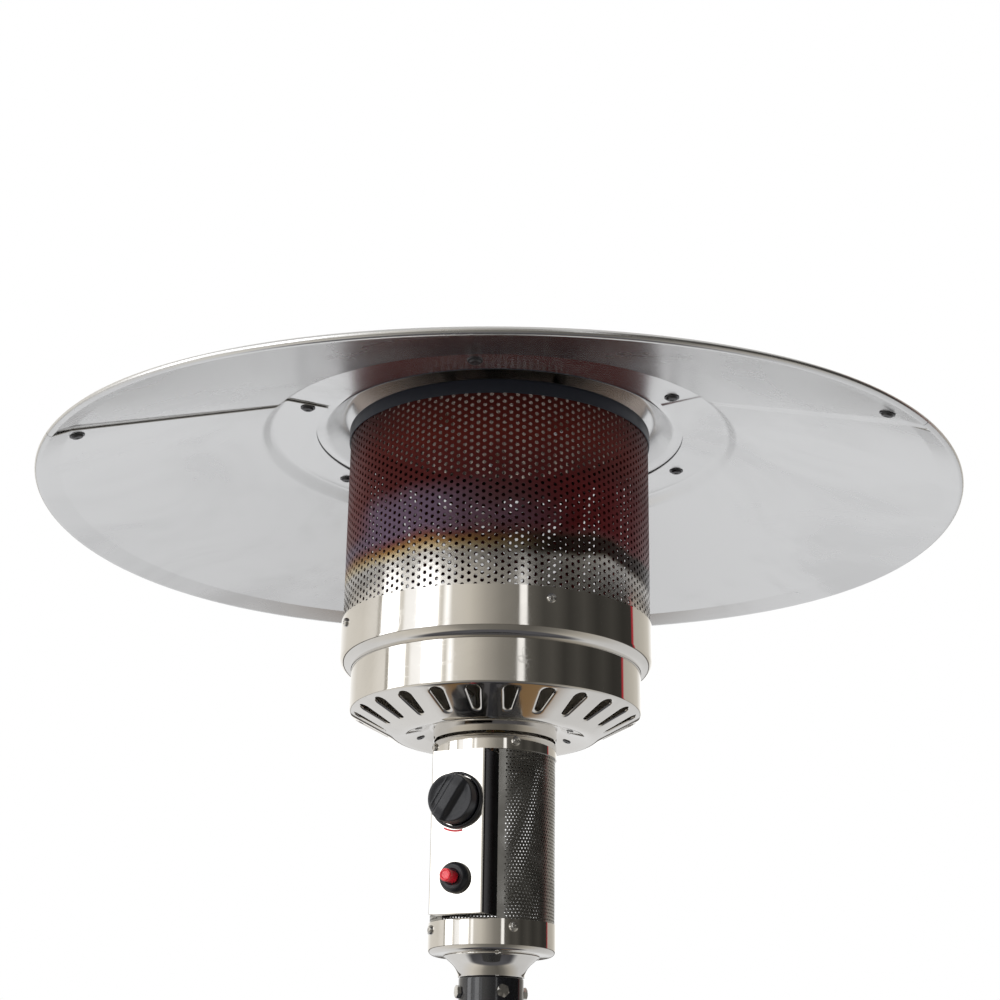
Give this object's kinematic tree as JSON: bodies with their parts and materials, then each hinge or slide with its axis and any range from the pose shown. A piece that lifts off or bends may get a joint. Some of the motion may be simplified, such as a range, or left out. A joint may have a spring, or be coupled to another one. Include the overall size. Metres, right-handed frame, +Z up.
{
  "type": "outdoor gas heater",
  "caption": "Free-standing outdoor heater: wide round reflector over a perforated emitter, control head on a slim post, bottle housing and wheeled base.",
  "frame": {"origin": "on the ground under the post's axis, at the bottom centre of the whole heater", "axes": "+Z up along the post, -Y towards the control panel's front, +X to the right of someone who faces the panel"},
  "size_m": [0.8128, 0.8128, 2.2145],
  "materials": {
    "reflector_sheet": "satin rolled sheet",
    "emitter_steel": "heat-tinted perforated sheet",
    "head_steel": "polished sheet",
    "guard_steel": "perforated sheet",
    "inner_steel": "plain sheet",
    "cap_black": "satin heat-proof black",
    "plated_screws": "bright plated",
    "dark_screws": "blackened",
    "brass_fittings": "machined",
    "tube_aluminium": "drawn tube",
    "copper_lead": "drawn copper",
    "ceramic": "glazed",
    "cast_valve": "die-cast",
    "valve_stem_steel": "turned",
    "knob_black": "moulded satin",
    "nut_plastic": "moulded",
    "button_red": "moulded gloss",
    "post_black": "gloss black",
    "housing_black": "textured black powder coat",
    "foot_rubber": "moulded",
    "wheel_plastic": "moulded"
  },
  "bodies": {
    "frame": {"reflector_panel_1": "reflector_sheet", "reflector_panel_2": "reflector_sheet", "reflector_panel_3": "reflector_sheet", "reflector_centre_disc": "reflector_sheet", "emitter_screen": "emitter_steel", "burner_cup_upper": "head_steel", "burner_cup_lower": "head_steel", "housing_collar": "head_steel", "housing_bottom_cup": "head_steel", "control_panel": "head_steel", "neck_tube": "head_steel", "perforated_guard": "guard_steel", "burner_deck": "inner_steel", "burner_bowl": "inner_steel", "burner_plate": "inner_steel", "emitter_top_cap": "cap_black", "reflector_nuts": "plated_screws", "reflector_studs": "plated_screws", "stud_spacers": "plated_screws", "wing_nuts": "plated_screws", "emitter_screws": "plated_screws", "housing_screws": "plated_screws", "neck_screws": "plated_screws", "valve_screws": "plated_screws", "head_bolts": "plated_screws", "post_bolts": "plated_screws", "leg_fasteners": "plated_screws", "bracket_fasteners": "plated_screws", "axle": "plated_screws", "axle_caps": "plated_screws", "reflector_screws": "dark_screws", "dish_screws": "dark_screws", "gas_orifice": "brass_fittings", "pilot_burner": "brass_fittings", "main_gas_tube": "tube_aluminium", "pilot_tube": "tube_aluminium", "thermocouple": "copper_lead", "ignition_electrode": "ceramic", "gas_valve": "cast_valve", "knob_escutcheon": "knob_black", "igniter_bezel": "knob_black", "igniter_nut": "nut_plastic", "tilt_switch": "nut_plastic", "post": "post_black", "post_flange": "post_black", "support_leg_1": "post_black", "support_leg_2": "post_black", "support_leg_3": "post_black", "base_pan": "housing_black", "wheel_bracket": "housing_black", "base_feet": "foot_rubber"},
    "valve_plunger": {"valve_plunger": "brass_fittings"},
    "knob": {"knob": "knob_black", "valve_stem": "valve_stem_steel"},
    "igniter_button": {"igniter_button": "button_red"},
    "bottle_housing": {"bottle_housing": "housing_black", "bottle_housing_lid": "housing_black", "lid_screws": "plated_screws"},
    "wheel_left": {"wheel_left": "wheel_plastic"},
    "wheel_right": {"wheel_right": "wheel_plastic"}
  },
  "joints": [
    {"name": "knob_push", "type": "slide", "parent": "frame", "child": "valve_plunger", "axis": [0, 1, 0], "range_m": [0, 0.003], "stiffness_N_per_m": 4000},
    {"name": "knob_turn", "type": "hinge", "parent": "valve_plunger", "child": "knob", "pos_m": [0, -0.0733, 1.8285], "axis": [0, -1, 0], "range_deg": [0, 180]},
    {"name": "igniter_push", "type": "slide", "parent": "frame", "child": "igniter_button", "axis": [0, 1, 0], "range_m": [0, 0.008], "stiffness_N_per_m": 1500},
    {"name": "housing_lift", "type": "slide", "parent": "frame", "child": "bottle_housing", "axis": [0, 0, 1], "range_m": [0, 0.55]},
    {"name": "wheel_left_spin", "type": "hinge", "parent": "frame", "child": "wheel_left", "pos_m": [-0.089, 0.258, 0.068], "axis": [1, 0, 0], "continuous": true},
    {"name": "wheel_right_spin", "type": "hinge", "parent": "frame", "child": "wheel_right", "pos_m": [0.089, 0.258, 0.068], "axis": [1, 0, 0], "continuous": true}
  ]
}
